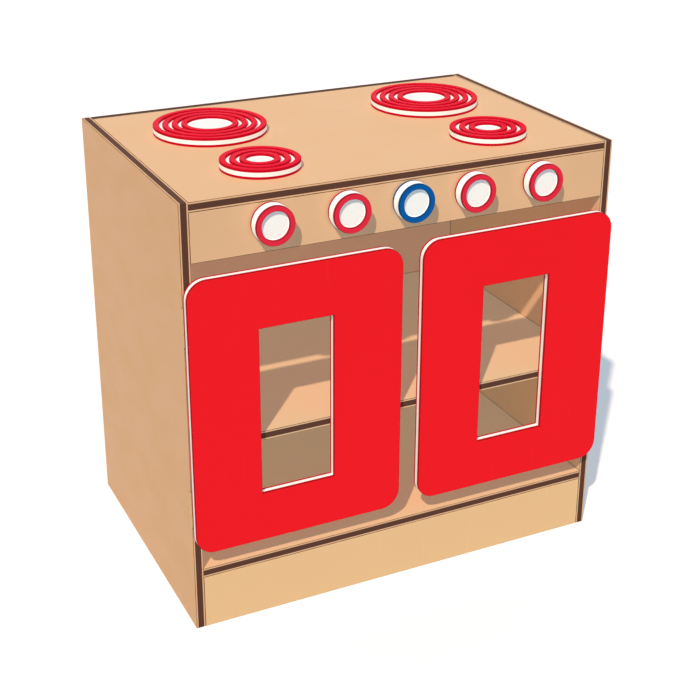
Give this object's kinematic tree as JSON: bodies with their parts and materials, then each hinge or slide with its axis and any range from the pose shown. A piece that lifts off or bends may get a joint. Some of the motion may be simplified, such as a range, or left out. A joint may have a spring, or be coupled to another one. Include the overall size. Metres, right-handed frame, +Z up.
{
  "type": "toy oven",
  "caption": "Child's play cooker: a sheet-plastic box with a hob of round burners, turning knobs, an inner shelf and hinged doors with cut-out windows.",
  "frame": {"origin": "on the floor, at the middle of the footprint of the whole object, knobs included", "axes": "+X to the right seen from the front, +Y towards the back, +Z up"},
  "size_m": [0.6136, 0.4262, 0.6033],
  "materials": {
    "tan_sheet": "three-layer HDPE sheet, tan skins on a dark brown core, fine orange-peel surface",
    "red_sheet": "three-layer HDPE sheet, red skins on a white core, fine orange-peel surface",
    "red_thick_sheet": "thicker three-layer HDPE sheet, red skins on a white core",
    "blue_thick_sheet": "thicker three-layer HDPE sheet, blue skins on a white core",
    "stainless_steel": "plain stainless steel screws, washers and strikes",
    "plain_brass": "plain brass hinges, hinge screws and threaded inserts",
    "magnet_plating": "nickel-plated magnet",
    "nylon_washer": "plain nylon",
    "dowel_plastic": "plain moulded plastic"
  },
  "bodies": {
    "carcass": {"left_side_panel": "tan_sheet", "right_side_panel": "tan_sheet", "top_panel": "tan_sheet", "back_panel": "tan_sheet", "control_panel": "tan_sheet", "middle_shelf": "tan_sheet", "bottom_board": "tan_sheet", "kick_board": "tan_sheet", "board_dowels": "dowel_plastic", "back_left_burner": "red_sheet", "front_left_burner": "red_sheet", "back_right_burner": "red_sheet", "front_right_burner": "red_sheet", "burner_screws": "stainless_steel", "knob_glide_washers": "nylon_washer", "knob_back_washers": "stainless_steel", "door_magnets": "magnet_plating", "hinge_frame_screws": "plain_brass", "lower_left_hinge_frame_leaf": "plain_brass", "lower_left_hinge_pin": "plain_brass", "upper_left_hinge_frame_leaf": "plain_brass", "upper_left_hinge_pin": "plain_brass", "lower_right_hinge_frame_leaf": "plain_brass", "lower_right_hinge_pin": "plain_brass", "upper_right_hinge_frame_leaf": "plain_brass", "upper_right_hinge_pin": "plain_brass"},
    "left_door": {"left_door": "red_sheet", "left_door_strike": "stainless_steel", "left_door_hinge_screws": "plain_brass", "lower_left_hinge_door_leaf": "plain_brass", "upper_left_hinge_door_leaf": "plain_brass"},
    "right_door": {"right_door": "red_sheet", "right_door_strike": "stainless_steel", "right_door_hinge_screws": "plain_brass", "lower_right_hinge_door_leaf": "plain_brass", "upper_right_hinge_door_leaf": "plain_brass"},
    "outer_left_knob": {"outer_left_knob": "red_thick_sheet", "outer_left_knob_insert": "plain_brass", "outer_left_knob_screw": "stainless_steel"},
    "inner_left_knob": {"inner_left_knob": "red_thick_sheet", "inner_left_knob_insert": "plain_brass", "inner_left_knob_screw": "stainless_steel"},
    "centre_knob": {"centre_knob": "blue_thick_sheet", "centre_knob_insert": "plain_brass", "centre_knob_screw": "stainless_steel"},
    "inner_right_knob": {"inner_right_knob": "red_thick_sheet", "inner_right_knob_insert": "plain_brass", "inner_right_knob_screw": "stainless_steel"},
    "outer_right_knob": {"outer_right_knob": "red_thick_sheet", "outer_right_knob_insert": "plain_brass", "outer_right_knob_screw": "stainless_steel"}
  },
  "joints": [
    {"name": "left_door_swing", "type": "hinge", "parent": "carcass", "child": "left_door", "pos_m": [-0.3048, -0.19378, 0.30783], "axis": [0, 0, -1], "range_deg": [0, 180]},
    {"name": "right_door_swing", "type": "hinge", "parent": "carcass", "child": "right_door", "pos_m": [0.3048, -0.19378, 0.30783], "axis": [0, 0, 1], "range_deg": [0, 180]},
    {"name": "outer_left_knob_turn", "type": "hinge", "parent": "carcass", "child": "outer_left_knob", "pos_m": [-0.1905, -0.19407, 0.5519], "axis": [0, -1, 0], "continuous": true},
    {"name": "inner_left_knob_turn", "type": "hinge", "parent": "carcass", "child": "inner_left_knob", "pos_m": [-0.0889, -0.19407, 0.5519], "axis": [0, -1, 0], "continuous": true},
    {"name": "centre_knob_turn", "type": "hinge", "parent": "carcass", "child": "centre_knob", "pos_m": [0, -0.19407, 0.5519], "axis": [0, -1, 0], "continuous": true},
    {"name": "inner_right_knob_turn", "type": "hinge", "parent": "carcass", "child": "inner_right_knob", "pos_m": [0.0889, -0.19407, 0.5519], "axis": [0, -1, 0], "continuous": true},
    {"name": "outer_right_knob_turn", "type": "hinge", "parent": "carcass", "child": "outer_right_knob", "pos_m": [0.1905, -0.19407, 0.5519], "axis": [0, -1, 0], "continuous": true}
  ]
}
